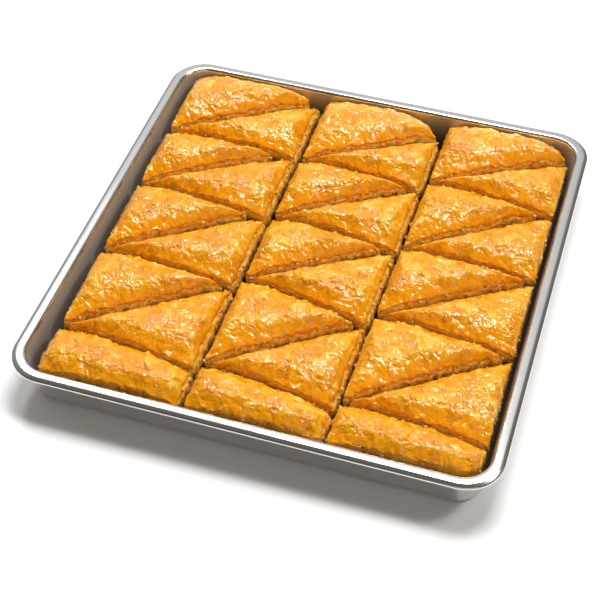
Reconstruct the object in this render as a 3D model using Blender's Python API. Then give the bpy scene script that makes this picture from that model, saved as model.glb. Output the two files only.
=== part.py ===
# Baklava cut into triangles, in the rolled-rim baking tray that holds it.
# Units are metres, +Z is up, +Y points to the back of the tray and +X to its right.
# The origin is on the table, under the middle of the tray.
#
# The slab is cut into three strips that run from back to front. A zigzag of straight cuts
# divides each strip into eight triangles, and one bar is left over at the front.
import math
from collections import namedtuple

import bmesh
import bpy
import numpy as np
from mathutils import Vector, noise
from mathutils.geometry import delaunay_2d_cdt

# Tray: pressed sheet metal. Its flat flange slopes down at the outside and ends in a round bead.
TRAY_WIDTH = 0.320
TRAY_DEPTH = 0.3316
TRAY_HEIGHT = 0.034
SHEET = 0.001
RIM_CORNER = 0.0255
CORNER_SHRINK = 0.74
CORNER_STEPS = 6
BEAD_RADIUS = 0.0015
BEAD_TURN = 239
BEAD_STEPS = 6
RIM_SLOPE = 0.00105
SLOPE_INNER = 0.0027
FLANGE_INNER = 0.0062
WALL_TOP_INSET = 0.0087
WALL_FOOT_INSET = 0.0122
SHOULDER_DROP = 0.0024
SHOULDER_STEPS = ((0.45, 0.12), (0.80, 0.42), (1.00, 1.00))
FOOT_FILLET = 0.005
FILLET_STEPS = 3

# Pastry: heights above the table. The crust is lowest at a piece's corners, higher along its
# edges and highest on a crest, which lies nearer to the piece's front edge than to its back.
# Its last edge hangs lower than the others.
GAP = 0.0003
PASTRY_FLOOR = SHEET + GAP
CORNER_LEVEL = 0.0285
EDGE_RISE = 0.0055
EDGE_RISE_REACH = 0.030
LOW_EDGE_DROP = 0.70
LOW_EDGE_REACH = 0.012
CREST_RISE = 0.0069
CREST_PLACE = 0.34
CREST_WIDTH = 0.026
CREST_ROUND = 1.35
CREST_TAPER = 0.6
CREST_BLEND = 0.08
END_REACH = 0.0110
END_ROUND = 2.2
SLOPE_BLEND = 0.0030
FACING = 0.3

# Pastry: plan. The slab reaches these lines, and rounds off in the tray's corners.
BACK_LINE = 0.1560
FRONT_LINE = -0.1555
CORNER_RADIUS = 0.0185
SLAB_HALF_WIDTH = 0.1490
DIAGONAL_GAP = 0.0030
CROSS_GAP = 0.0016
EDGE_BLEND = 0.0010

# One strip: its left and right side as x at the back and at the front, where the cuts start on
# its left side, where they end on its right side (the first diagonal, then the cross cuts), how
# far short of the right side the tips of its right-pointing triangles stop, and how far the
# blunt end of its backmost triangle slants.
Strip = namedtuple("Strip", "name left right left_marks right_marks tips slant")
STRIPS = (
    Strip("left", (-0.1430, -0.1400), (-0.0440, -0.0455), (0.0870, 0.0270, -0.0420, -0.1140),
          (0.1490, 0.0840, 0.0190, -0.0485, -0.1245), (0.006, 0.010, 0.008, 0.002), 0.004),
    Strip("middle", (-0.0385, -0.0410), (0.0515, 0.0478), (0.0850, 0.0235, -0.0395, -0.1170),
          (0.1370, 0.0790, 0.0140, -0.0560, -0.1290), (0.000, 0.003, 0.004, 0.003), 0.016),
    Strip("right", (0.0560, 0.0512), (0.1480, 0.1470), (0.0900, 0.0200, -0.0450, -0.1210),
          (0.1400, 0.0790, 0.0150, -0.0545, -0.1290), (0.000, 0.008, 0.002, 0.002), 0.014),
)

# Relief of the crust, and the sides, which stand out into the cuts below the crust's edge. Each
# level of a side has its height, its share of that, and how far it leans in beside the tray's wall.
WAVE_LENGTH = 0.013
WAVE_HEIGHT = 0.0010
FOLD_LENGTH = 0.007
FOLD_HEIGHT = 0.0006
RELIEF_AT_EDGE = 0.3
EDGE_WOBBLE_LENGTH = 0.009
EDGE_WOBBLE = 0.0008
WAVE_LAYER = 0.0
WOBBLE_LAYER = 0.3
FOLD_LAYER = 0.7
DIAGONAL_FLARE = 0.0010
CROSS_FLARE = 0.0004
RIGHT_FLARE = 0.0022
LEFT_FLARE = 0.0005
SIDE_LEVELS = ((0.0260, 0.50, 0.0013), (0.0120, 1.00, 0.0031), (PASTRY_FLOOR, 1.00, 0.0088))
WALL_NEARNESS = 0.006

# How finely each piece is divided.
RAY_COUNT = 240
OUTLINE_POINTS = 36
SHOULDER_INSET = 0.0024
GRID_STEP = 0.0082
GRID_MARGIN = 0.0055
WALK_STEPS = 6
SLOPE_STEP = 0.00005
HALVINGS = 30
TRAY_SHARP_ANGLE = 40
CRUST_SHARP_ANGLE = 60


def clear_scene():
    for item in list(bpy.data.objects):
        bpy.data.objects.remove(item, do_unlink=True)


def make_material(name, colour, roughness, metallic):
    material = bpy.data.materials.new(name)
    material.use_nodes = True
    shader = material.node_tree.nodes["Principled BSDF"]
    shader.inputs["Base Color"].default_value = (*colour, 1.0)
    shader.inputs["Roughness"].default_value = roughness
    shader.inputs["Metallic"].default_value = metallic
    return material


def add_object(name, mesh, material):
    item = bpy.data.objects.new(name, mesh)
    item.data.materials.append(material)
    bpy.context.scene.collection.objects.link(item)
    return item


def rounded_rectangle(half_width, half_depth, radius, steps):
    """Corner points of a rounded rectangle, counter-clockwise from the right side."""
    points = []
    corners = ((1, 1, 0), (-1, 1, 90), (-1, -1, 180), (1, -1, 270))
    for side_x, side_y, start in corners:
        centre_x = side_x * (half_width - radius)
        centre_y = side_y * (half_depth - radius)
        for step in range(steps + 1):
            angle = math.radians(start + 90.0 * step / steps)
            points.append((centre_x + radius * math.cos(angle), centre_y + radius * math.sin(angle)))
    return points


def tray_profile():
    """Cross-section of the tray as (inset from the outermost line, height), underside first."""
    outer_foot = WALL_FOOT_INSET - SHEET
    fillet_inset = outer_foot + FOOT_FILLET
    flange_underside = TRAY_HEIGHT - SHEET
    profile = []
    for step in range(FILLET_STEPS + 1):
        angle = math.pi / 2 * step / FILLET_STEPS
        profile.append((fillet_inset - FOOT_FILLET * math.sin(angle), FOOT_FILLET * (1 - math.cos(angle))))
    profile.append((WALL_TOP_INSET - SHEET, flange_underside - SHOULDER_DROP))
    profile.append((WALL_TOP_INSET - 2 * SHEET, flange_underside))
    profile.append((2 * BEAD_RADIUS + SHEET, flange_underside))
    bead_turn = math.radians(BEAD_TURN)
    bead_middle = TRAY_HEIGHT - RIM_SLOPE + BEAD_RADIUS * math.sin(math.pi - bead_turn)
    for step in range(BEAD_STEPS + 1):
        angle = math.pi - bead_turn * step / BEAD_STEPS
        inset = BEAD_RADIUS - BEAD_RADIUS * math.cos(angle)
        profile.append((inset, bead_middle - BEAD_RADIUS * math.sin(angle)))
    profile.append((SLOPE_INNER, TRAY_HEIGHT))
    profile.append((FLANGE_INNER, TRAY_HEIGHT))
    for share_in, share_down in SHOULDER_STEPS:
        profile.append((FLANGE_INNER + (WALL_TOP_INSET - FLANGE_INNER) * share_in,
                        TRAY_HEIGHT - SHOULDER_DROP * share_down))
    inner_fillet = FOOT_FILLET - SHEET
    for step in range(FILLET_STEPS + 1):
        angle = math.pi / 2 * (1 - step / FILLET_STEPS)
        profile.append((fillet_inset - inner_fillet * math.sin(angle),
                        FOOT_FILLET - inner_fillet * math.cos(angle)))
    return profile


def build_tray(material):
    mesh_maker = bmesh.new()
    rings = []
    for inset, height in tray_profile():
        corner = RIM_CORNER - CORNER_SHRINK * inset
        outline = rounded_rectangle(TRAY_WIDTH / 2 - inset, TRAY_DEPTH / 2 - inset, corner, CORNER_STEPS)
        rings.append([mesh_maker.verts.new((x, y, height)) for x, y in outline])
    count = len(rings[0])
    for lower, upper in zip(rings[:-1], rings[1:]):
        for index in range(count):
            following = (index + 1) % count
            mesh_maker.faces.new((lower[index], lower[following], upper[following], upper[index]))
    mesh_maker.faces.new(list(reversed(rings[0])))
    mesh_maker.faces.new(rings[-1])
    bmesh.ops.recalc_face_normals(mesh_maker, faces=mesh_maker.faces)
    mesh = bpy.data.meshes.new("tray")
    mesh_maker.to_mesh(mesh)
    mesh_maker.free()
    mesh.shade_smooth()
    mesh.set_sharp_from_angle(angle=math.radians(TRAY_SHARP_ANGLE))
    return add_object("tray", mesh, material)


def side_point(side, y):
    """Point at y on a strip's side, which is given as x at the back and x at the front."""
    share = (BACK_LINE - y) / (BACK_LINE - FRONT_LINE)
    return (side[0] + (side[1] - side[0]) * share, y)


def point_along(start, end, x):
    """Point at x on the line from start to end."""
    share = (x - start[0]) / (end[0] - start[0])
    return (x, start[1] + (end[1] - start[1]) * share)


def strip_pieces(strip):
    """Name, corners (counter-clockwise) and the inset of each edge, for a strip's nine pieces."""
    half_diagonal = DIAGONAL_GAP / 2
    half_cross = CROSS_GAP / 2
    left_corners = [side_point(strip.left, y) for y in strip.left_marks]
    right_corners = [side_point(strip.right, y) for y in strip.right_marks[1:]]
    back_left = side_point(strip.left, BACK_LINE)
    pieces = []
    for index, tip_inset in enumerate(strip.tips):
        low_left = left_corners[index]
        low_right = right_corners[index]
        if index == 0:
            high_right = side_point(strip.right, strip.right_marks[0])
            tip = point_along(low_left, high_right, high_right[0] - tip_inset)
            first = [low_left, tip, (tip[0] - strip.slant, BACK_LINE), back_left]
            first_insets = [half_diagonal, half_cross, 0.0, 0.0]
            second = [low_left, low_right, high_right]
            second_insets = [half_cross, 0.0, half_diagonal]
        else:
            high_left = left_corners[index - 1]
            high_right = right_corners[index - 1]
            tip = point_along(high_left, high_right, high_right[0] - tip_inset)
            first = [low_left, tip, high_left]
            first_insets = [half_diagonal, half_cross, 0.0]
            second = [low_left, low_right, high_right, tip]
            second_insets = [half_cross, 0.0, half_cross, half_diagonal]
        pieces.append((f"{strip.name}_triangle_{2 * index + 1}", first, first_insets))
        pieces.append((f"{strip.name}_triangle_{2 * index + 2}", second, second_insets))
    front_left = side_point(strip.left, FRONT_LINE)
    front_right = side_point(strip.right, FRONT_LINE)
    bar = [front_left, front_right, right_corners[-1], left_corners[-1]]
    pieces.append((f"{strip.name}_bar", bar, [0.0, 0.0, half_cross, 0.0]))
    return pieces


def slab_distance(points):
    """Distance inside the slab's own outline, a rectangle with round corners."""
    half_depth = (BACK_LINE - FRONT_LINE) / 2
    middle = (BACK_LINE + FRONT_LINE) / 2
    beyond_x = np.abs(points[:, 0]) - (SLAB_HALF_WIDTH - CORNER_RADIUS)
    beyond_y = np.abs(points[:, 1] - middle) - (half_depth - CORNER_RADIUS)
    outside = np.hypot(np.maximum(beyond_x, 0), np.maximum(beyond_y, 0))
    return CORNER_RADIUS - outside - np.minimum(np.maximum(beyond_x, beyond_y), 0)


def edge_distance(points, corners, insets, index):
    """Distance inside one edge of a piece."""
    start = np.array(corners[index])
    end = np.array(corners[(index + 1) % len(corners)])
    along = (end - start) / np.linalg.norm(end - start)
    offset = points - start
    return along[0] * offset[:, 1] - along[1] * offset[:, 0] - insets[index]


def soft_minimum(rows, blend):
    """Lowest of several rows of values, rounded over where rows are about equal."""
    stacked = np.array(rows)
    lowest = stacked.min(axis=0)
    return lowest - blend * np.log(np.exp((lowest - stacked) / blend).sum(axis=0))


def inside_distance(points, corners, insets, blend):
    """Distance inside a piece's edges, rounded over between edges by the blend length."""
    distances = [edge_distance(points, corners, insets, index) for index in range(len(insets))]
    return soft_minimum([slab_distance(points)] + distances, blend)


def smooth_noise(points, length, layer):
    """Smooth random values between -1 and 1 that vary over the length."""
    return np.array([noise.noise(Vector((x, y, layer)) / length) for x, y in points])


def edge_wobble(points):
    """How far a hand-made edge draws back from its straight cut."""
    return EDGE_WOBBLE * (1 + smooth_noise(points, EDGE_WOBBLE_LENGTH, WOBBLE_LAYER)) / 2


def trace_outline(corners, insets):
    """Evenly spaced points where the inside distance is zero, found along rays from the middle."""
    centre = np.mean(np.array(corners), axis=0)
    angles = np.linspace(0, 2 * math.pi, RAY_COUNT, endpoint=False)
    rays = np.column_stack((np.cos(angles), np.sin(angles)))
    near = np.zeros(RAY_COUNT)
    far = np.full(RAY_COUNT, TRAY_WIDTH)
    for _ in range(HALVINGS):
        middle = (near + far) / 2
        points = centre + rays * middle[:, None]
        inside = inside_distance(points, corners, insets, EDGE_BLEND) > 0
        near = np.where(inside, middle, near)
        far = np.where(inside, far, middle)
    loop = centre + rays * near[:, None]
    closed = np.vstack((loop, loop[:1]))
    lengths = np.concatenate(([0.0], np.cumsum(np.linalg.norm(np.diff(closed, axis=0), axis=1))))
    targets = np.linspace(0, lengths[-1], OUTLINE_POINTS, endpoint=False)
    return np.column_stack([np.interp(targets, lengths, closed[:, axis]) for axis in (0, 1)])


def inward_slope(points, corners, insets):
    """Unit vectors that point into the piece, and the inside distance."""
    here = inside_distance(points, corners, insets, EDGE_BLEND)
    slope = np.column_stack([
        inside_distance(points + offset, corners, insets, EDGE_BLEND) - here
        for offset in ((SLOPE_STEP, 0.0), (0.0, SLOPE_STEP))
    ])
    return slope / np.linalg.norm(slope, axis=1)[:, None], here


def settle(points, corners, insets, distance):
    """Move outline points along the slope of the inside distance, until it is the given one."""
    moved = points.copy()
    for _ in range(WALK_STEPS):
        slope, here = inward_slope(moved, corners, insets)
        moved += slope * (distance - here)[:, None]
    return moved


def flared_insets(corners, insets):
    """The inset of each edge at the foot of a piece, which stands out into the cuts beside it."""
    flared = []
    for index, inset in enumerate(insets):
        start = np.array(corners[index])
        end = np.array(corners[(index + 1) % len(corners)])
        if inset == DIAGONAL_GAP / 2:
            flare = DIAGONAL_FLARE
        elif inset == CROSS_GAP / 2:
            flare = CROSS_FLARE
        elif slab_distance((start + end)[None] / 2)[0] < WALL_NEARNESS:
            flare = 0.0
        elif end[1] > start[1]:
            flare = RIGHT_FLARE
        else:
            flare = LEFT_FLARE
        flared.append(inset - flare)
    return flared


def crest_share(points, corners, insets):
    """0 at a piece's edge and 1 on its crest."""
    fronts, backs, ends = [], [], [slab_distance(points) + WALL_NEARNESS]
    for index in range(len(insets)):
        start = np.array(corners[index])
        end = np.array(corners[(index + 1) % len(corners)])
        facing = (start[0] - end[0]) / np.linalg.norm(end - start)
        group = fronts if facing < -FACING else backs if facing > FACING else ends
        group.append(edge_distance(points, corners, insets, index))
    groups = (fronts, backs, ends)
    front, back, side = [np.maximum(soft_minimum(rows, SLOPE_BLEND), 0.0) for rows in groups]
    width = front + back + SLOPE_STEP
    tent = np.minimum(front / (CREST_PLACE * width), back / ((1 - CREST_PLACE) * width))
    rounded = 1 - (1 - np.minimum(tent, 1)) ** CREST_ROUND
    crest = rounded * np.minimum(width / CREST_WIDTH, 1) ** CREST_TAPER
    end_share = 1 - (1 - np.minimum(side / END_REACH, 1)) ** END_ROUND
    return np.clip(soft_minimum([crest, end_share], CREST_BLEND), 0, 1)


def crust_height(points, corners, insets):
    """Height of the crested, wavy top over plan points."""
    reach = np.min([np.hypot(*(points - corner).T) for corner in np.array(corners)], axis=0)
    along = 1 - (1 - np.minimum(reach / EDGE_RISE_REACH, 1)) ** 2
    last = edge_distance(points, corners, insets, len(insets) - 1)
    along *= 1 - LOW_EDGE_DROP * (1 - np.clip(last / LOW_EDGE_REACH, 0, 1)) ** 2
    share = crest_share(points, corners, insets)
    waves = WAVE_HEIGHT * smooth_noise(points, WAVE_LENGTH, WAVE_LAYER)
    folds = FOLD_HEIGHT * smooth_noise(points, FOLD_LENGTH, FOLD_LAYER)
    relief = (waves + folds) * (RELIEF_AT_EDGE + (1 - RELIEF_AT_EDGE) * share)
    return CORNER_LEVEL + EDGE_RISE * along + CREST_RISE * share + relief


def grid_points(corners, insets):
    """Points of a staggered grid that lie well inside the piece."""
    low = np.min(np.array(corners), axis=0)
    high = np.max(np.array(corners), axis=0)
    row_step = GRID_STEP * math.sqrt(3) / 2
    points = []
    for row in range(int((high[1] - low[1]) / row_step) + 1):
        shift = GRID_STEP / 2 if row % 2 else 0.0
        for column in range(int((high[0] - low[0]) / GRID_STEP) + 1):
            points.append((low[0] + shift + column * GRID_STEP, low[1] + row * row_step))
    points = np.array(points)
    return points[inside_distance(points, corners, insets, SLOPE_BLEND) > GRID_MARGIN]


def add_ring(mesh_maker, points, heights):
    levels = np.broadcast_to(heights, len(points))
    return [mesh_maker.verts.new((x, y, z)) for (x, y), z in zip(points, levels)]


def join_rings(mesh_maker, first, second):
    count = len(first)
    for index in range(count):
        following = (index + 1) % count
        mesh_maker.faces.new((first[index], first[following], second[following], second[index]))


def build_piece(name, corners, insets, material):
    """One piece of baklava: flat underside, sides that stand out a little and a crested crust."""
    cut_line = trace_outline(corners, insets)
    drawn_back = edge_wobble(cut_line)
    edge = settle(cut_line, corners, insets, drawn_back)
    shoulder = settle(edge, corners, insets, drawn_back + SHOULDER_INSET)
    inner = grid_points(corners, insets)
    mesh_maker = bmesh.new()
    rings = [add_ring(mesh_maker, edge, crust_height(edge, corners, insets))]
    nearness = np.clip(1 - slab_distance(edge) / WALL_NEARNESS, 0, 1)
    foot_insets = np.array(flared_insets(corners, insets))
    for height, share, lean in SIDE_LEVELS:
        level_insets = np.array(insets) * (1 - share) + foot_insets * share
        ring = settle(edge, corners, level_insets, drawn_back + lean * nearness)
        rings.append(add_ring(mesh_maker, ring, height))
    for upper, lower in zip(rings[:-1], rings[1:]):
        join_rings(mesh_maker, lower, upper)
    mesh_maker.faces.new(list(reversed(rings[-1])))
    shoulder_ring = add_ring(mesh_maker, shoulder, crust_height(shoulder, corners, insets))
    join_rings(mesh_maker, rings[0], shoulder_ring)
    flat = [Vector(point) for point in np.vstack((shoulder, inner))]
    border = [(index, (index + 1) % OUTLINE_POINTS) for index in range(OUTLINE_POINTS)]
    triangles = delaunay_2d_cdt(flat, border, [], 1, SLOPE_STEP)[2]
    top = shoulder_ring + add_ring(mesh_maker, inner, crust_height(inner, corners, insets))
    for triangle in triangles:
        mesh_maker.faces.new([top[index] for index in triangle])
    bmesh.ops.recalc_face_normals(mesh_maker, faces=mesh_maker.faces)
    mesh = bpy.data.meshes.new(name)
    mesh_maker.to_mesh(mesh)
    mesh_maker.free()
    mesh.shade_smooth()
    mesh.set_sharp_from_angle(angle=math.radians(CRUST_SHARP_ANGLE))
    return add_object(name, mesh, material)


def main():
    clear_scene()
    metal = make_material("tray_metal", (0.72, 0.71, 0.70), 0.28, 1.0)
    crust = make_material("golden_crust", (0.82, 0.40, 0.06), 0.30, 0.0)
    build_tray(metal)
    for strip in STRIPS:
        for name, corners, insets in strip_pieces(strip):
            build_piece(name, corners, insets, crust)


main()
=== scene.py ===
import math
from collections import namedtuple

import bmesh
import bpy
import numpy as np
from mathutils import Matrix, Vector, noise
from mathutils.geometry import delaunay_2d_cdt


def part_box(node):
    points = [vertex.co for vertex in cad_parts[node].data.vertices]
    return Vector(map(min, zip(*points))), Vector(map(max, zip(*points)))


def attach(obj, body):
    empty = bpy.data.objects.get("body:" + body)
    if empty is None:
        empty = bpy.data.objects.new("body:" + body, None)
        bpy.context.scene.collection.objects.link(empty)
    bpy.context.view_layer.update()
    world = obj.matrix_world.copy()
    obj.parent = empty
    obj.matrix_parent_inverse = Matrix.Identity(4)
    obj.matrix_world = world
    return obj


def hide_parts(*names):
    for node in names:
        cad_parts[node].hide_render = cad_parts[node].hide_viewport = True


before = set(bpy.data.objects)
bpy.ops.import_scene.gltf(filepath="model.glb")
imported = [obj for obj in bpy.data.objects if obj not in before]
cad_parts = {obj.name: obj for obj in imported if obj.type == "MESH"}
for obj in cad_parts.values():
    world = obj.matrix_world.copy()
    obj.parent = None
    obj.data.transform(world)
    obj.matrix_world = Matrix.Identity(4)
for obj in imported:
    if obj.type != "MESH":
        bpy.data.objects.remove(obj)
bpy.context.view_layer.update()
tray_low, tray_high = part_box("tray")
random = np.random.default_rng(11)

# Tray, as in the CAD source but with finer rounds.
TRAY_HALF_WIDTH = (tray_high.x - tray_low.x) / 2
TRAY_HALF_DEPTH = (tray_high.y - tray_low.y) / 2
TRAY_HEIGHT = tray_high.z
SHEET = 0.001
RIM_CORNER = 0.0255
CORNER_SHRINK = 0.74
CORNER_STEPS = 20
BEAD_RADIUS = 0.0015
BEAD_TURN = 239
BEAD_STEPS = 18
RIM_SLOPE = 0.00105
SLOPE_INNER = 0.0027
SLOPE_ROUND = 0.0003
FLANGE_INNER = 0.0062
WALL_TOP_INSET = 0.0087
WALL_FOOT_INSET = 0.0122
SHOULDER_DROP = 0.0024
SHOULDER_STEPS = 7
FOOT_FILLET = 0.005
FILLET_STEPS = 8
STRAIGHT_STEP = 0.012
TRAY_SHARP_ANGLE = 50

# Rounds of the rim: how far each point of the shoulder's underside is from the wall, in sheets,
# and how far it has dropped, and the two points of the flange's edge, in parts of its round.
UNDER_SHOULDER = ((1.0, 1.0), (1.6, 0.25), (2.0, 0.0))
FLANGE_EDGE = ((-1.0, 0.6), (0.0, 0.2), (1.0, 0.0))

# Pastry: heights above the table, as in the CAD source, but the crest rises 0.5 mm less.
GAP = 0.0003
PASTRY_FLOOR = SHEET + GAP
CORNER_LEVEL = 0.0285
EDGE_RISE = 0.0055
EDGE_RISE_REACH = 0.030
LOW_EDGE_DROP = 0.70
LOW_EDGE_REACH = 0.012
DOME_RISE = 0.0064
DOME_REACH = 0.0110
DOME_BLEND = 0.0030
DOME_POWER = 2.2
CREST_PLACE = 0.34
CREST_WIDTH = 0.026
CREST_ROUND = 1.35
CREST_TAPER = 0.6
CREST_BLEND = 0.08
FACING = 0.3
WAVE_LENGTH = 0.013
WAVE_HEIGHT = 0.0010
FOLD_LENGTH = 0.007
FOLD_HEIGHT = 0.0006
RELIEF_AT_EDGE = 0.3
EDGE_WOBBLE_LENGTH = 0.009
EDGE_WOBBLE = 0.0008
WAVE_LAYER = 0.0
WOBBLE_LAYER = 0.3
FOLD_LAYER = 0.7

# Pastry: plan, as in the CAD source.
BACK_LINE = 0.1560
FRONT_LINE = -0.1555
CORNER_RADIUS = 0.0185
SLAB_HALF_WIDTH = 0.1490
DIAGONAL_GAP = 0.0030
CROSS_GAP = 0.0016
EDGE_BLEND = 0.0010
WALL_NEARNESS = 0.006

# One strip: its left and right side as x at the back and at the front, where the cuts start on
# its left side, where they end on its right side (the first diagonal, then the cross cuts), how
# far short of the right side the tips of its right-pointing triangles stop, and how far the
# blunt end of its backmost triangle slants.
Strip = namedtuple("Strip", "name left right left_marks right_marks tips slant")
STRIPS = (
    Strip("left", (-0.1430, -0.1400), (-0.0440, -0.0455), (0.0870, 0.0270, -0.0420, -0.1140),
          (0.1490, 0.0840, 0.0190, -0.0485, -0.1245), (0.006, 0.010, 0.008, 0.002), 0.004),
    Strip("middle", (-0.0385, -0.0410), (0.0515, 0.0478), (0.0850, 0.0235, -0.0395, -0.1170),
          (0.1370, 0.0790, 0.0140, -0.0560, -0.1290), (0.000, 0.003, 0.004, 0.003), 0.016),
    Strip("right", (0.0560, 0.0512), (0.1480, 0.1470), (0.0900, 0.0200, -0.0450, -0.1210),
          (0.1400, 0.0790, 0.0150, -0.0545, -0.1290), (0.000, 0.008, 0.002, 0.002), 0.014),
)

# How finely a crust is divided, and the steps of a side below the crust's edge.
CRUST_STEP = 0.00066
EDGE_CLEARANCE = CRUST_STEP * 0.55
SIDE_STEP = 0.00085
RAY_COUNT = 900
HALVINGS = 22
WALK_STEPS = 5
SLOPE_STEP = 0.00005
FINE_SIDE_DEPTH = 0.0075
FINE_SIDE_STEP = 0.0005
MEDIUM_SIDE_DEPTH = 0.0145
MEDIUM_SIDE_STEP = 0.0010
LOW_LEVELS = (0.0110, 0.0060)

# Camera, matched to the photograph: where it stands, where it looks and its lens.
CAMERA_PLACE = (0.195069, -0.656160, 0.726634)
CAMERA_AZIMUTH = 17.59378
CAMERA_ELEVATION = 47.52301
CAMERA_ROLL = -0.18212
CAMERA_LENS = 85.942


def smooth_share(values, low, high):
    """0 below low and 1 above high, with a soft passage between them."""
    share = np.clip((values - low) / (high - low), 0.0, 1.0)
    return share * share * (3 - 2 * share)


def noise_at(points, length, layer):
    """Smooth random values between -1 and 1 that vary over the length."""
    scaled = np.asarray(points) / length
    if scaled.shape[1] == 2:
        scaled = np.column_stack((scaled, np.full(len(scaled), layer / length)))
    else:
        scaled = scaled + layer
    return np.array([noise.noise(Vector(point)) for point in scaled.tolist()])


def ridge(values, width):
    """1 where the values cross zero, falling off over the width: a net of thin lines."""
    return np.exp(-(values / width) ** 2)


def side_point(side, y):
    """Point at y on a strip's side, which is given as x at the back and x at the front."""
    share = (BACK_LINE - y) / (BACK_LINE - FRONT_LINE)
    return (side[0] + (side[1] - side[0]) * share, y)


def point_along(start, end, x):
    """Point at x on the line from start to end."""
    share = (x - start[0]) / (end[0] - start[0])
    return (x, start[1] + (end[1] - start[1]) * share)


def strip_pieces(strip):
    """Name, corners (counter-clockwise) and the inset of each edge, for a strip's nine pieces."""
    half_diagonal = DIAGONAL_GAP / 2
    half_cross = CROSS_GAP / 2
    left_corners = [side_point(strip.left, y) for y in strip.left_marks]
    right_corners = [side_point(strip.right, y) for y in strip.right_marks[1:]]
    back_left = side_point(strip.left, BACK_LINE)
    pieces = []
    for index, tip_inset in enumerate(strip.tips):
        low_left = left_corners[index]
        low_right = right_corners[index]
        if index == 0:
            high_right = side_point(strip.right, strip.right_marks[0])
            tip = point_along(low_left, high_right, high_right[0] - tip_inset)
            first = [low_left, tip, (tip[0] - strip.slant, BACK_LINE), back_left]
            first_insets = [half_diagonal, half_cross, 0.0, 0.0]
            second = [low_left, low_right, high_right]
            second_insets = [half_cross, 0.0, half_diagonal]
        else:
            high_left = left_corners[index - 1]
            high_right = right_corners[index - 1]
            tip = point_along(high_left, high_right, high_right[0] - tip_inset)
            first = [low_left, tip, high_left]
            first_insets = [half_diagonal, half_cross, 0.0]
            second = [low_left, low_right, high_right, tip]
            second_insets = [half_cross, 0.0, half_cross, half_diagonal]
        pieces.append((f"{strip.name}_triangle_{2 * index + 1}", first, first_insets))
        pieces.append((f"{strip.name}_triangle_{2 * index + 2}", second, second_insets))
    front_left = side_point(strip.left, FRONT_LINE)
    front_right = side_point(strip.right, FRONT_LINE)
    bar = [front_left, front_right, right_corners[-1], left_corners[-1]]
    pieces.append((f"{strip.name}_bar", bar, [0.0, 0.0, half_cross, 0.0]))
    return pieces


def slab_distance(points):
    """Distance inside the slab's own outline, a rectangle with round corners."""
    half_depth = (BACK_LINE - FRONT_LINE) / 2
    middle = (BACK_LINE + FRONT_LINE) / 2
    beyond_x = np.abs(points[:, 0]) - (SLAB_HALF_WIDTH - CORNER_RADIUS)
    beyond_y = np.abs(points[:, 1] - middle) - (half_depth - CORNER_RADIUS)
    outside = np.hypot(np.maximum(beyond_x, 0), np.maximum(beyond_y, 0))
    return CORNER_RADIUS - outside - np.minimum(np.maximum(beyond_x, beyond_y), 0)


def edge_frame(points, corners, insets, index):
    """Distance inside one edge of a piece, and the place along that edge."""
    start = np.array(corners[index])
    end = np.array(corners[(index + 1) % len(corners)])
    along = (end - start) / np.linalg.norm(end - start)
    offset = points - start
    return along[0] * offset[:, 1] - along[1] * offset[:, 0] - insets[index], offset @ along


def soft_minimum(rows, blend):
    """Lowest of several rows of values, rounded over where rows are about equal."""
    stacked = np.array(rows)
    lowest = stacked.min(axis=0)
    return lowest - blend * np.log(np.exp((lowest - stacked) / blend).sum(axis=0))


def inside_distance(points, corners, insets):
    """Distance inside a piece's edges, rounded over between edges."""
    distances = [edge_frame(points, corners, insets, index)[0] for index in range(len(insets))]
    return soft_minimum([slab_distance(points)] + distances, EDGE_BLEND)


def edge_wobble(points):
    """How far a hand-made edge draws back from its straight cut."""
    return EDGE_WOBBLE * (1 + noise_at(points, EDGE_WOBBLE_LENGTH, WOBBLE_LAYER)) / 2


CRIMP_LENGTH = 0.0042
CRIMP_REACH = 0.0011
CRIMP_MEAN = -0.10
CRIMP_DEEPEST = -0.5
CRIMP_LAYER = 0.11


def edge_crimp(points):
    """Small frills of the crust's edge, on top of its wobble."""
    frills = CRIMP_MEAN + noise_at(points, CRIMP_LENGTH, CRIMP_LAYER)
    return CRIMP_REACH * np.clip(frills, CRIMP_DEEPEST, 1)


def trace_outline(corners, insets):
    """Evenly spaced points where the inside distance is zero, found along rays from the middle."""
    centre = np.mean(np.array(corners), axis=0)
    angles = np.linspace(0, 2 * math.pi, RAY_COUNT, endpoint=False)
    rays = np.column_stack((np.cos(angles), np.sin(angles)))
    near = np.zeros(RAY_COUNT)
    far = np.full(RAY_COUNT, TRAY_HALF_WIDTH)
    for _ in range(HALVINGS):
        middle = (near + far) / 2
        points = centre + rays * middle[:, None]
        inside = inside_distance(points, corners, insets) > 0
        near = np.where(inside, middle, near)
        far = np.where(inside, far, middle)
    loop = centre + rays * near[:, None]
    closed = np.vstack((loop, loop[:1]))
    lengths = np.concatenate(([0.0], np.cumsum(np.linalg.norm(np.diff(closed, axis=0), axis=1))))
    count = int(lengths[-1] / SIDE_STEP)
    targets = np.linspace(0, lengths[-1], count, endpoint=False)
    return np.column_stack([np.interp(targets, lengths, closed[:, axis]) for axis in (0, 1)])


def inward_direction(points, corners, insets):
    """Unit vectors that point into the piece."""
    here = inside_distance(points, corners, insets)
    slope = np.column_stack([
        inside_distance(points + offset, corners, insets) - here
        for offset in ((SLOPE_STEP, 0.0), (0.0, SLOPE_STEP))
    ])
    return slope / np.linalg.norm(slope, axis=1)[:, None]


def walk_inward(points, corners, insets, distance):
    """Move outline points inward, each down the slope of the inside distance."""
    moved = points.copy()
    step_length = np.broadcast_to(distance, len(points)) / WALK_STEPS
    for _ in range(WALK_STEPS):
        moved += inward_direction(moved, corners, insets) * step_length[:, None]
    return moved


def crust_edge(corners, insets):
    """The crust's frilled edge, drawn back from the cut."""
    cut_line = trace_outline(corners, insets)
    return walk_inward(cut_line, corners, insets, edge_wobble(cut_line) + edge_crimp(cut_line))


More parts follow.
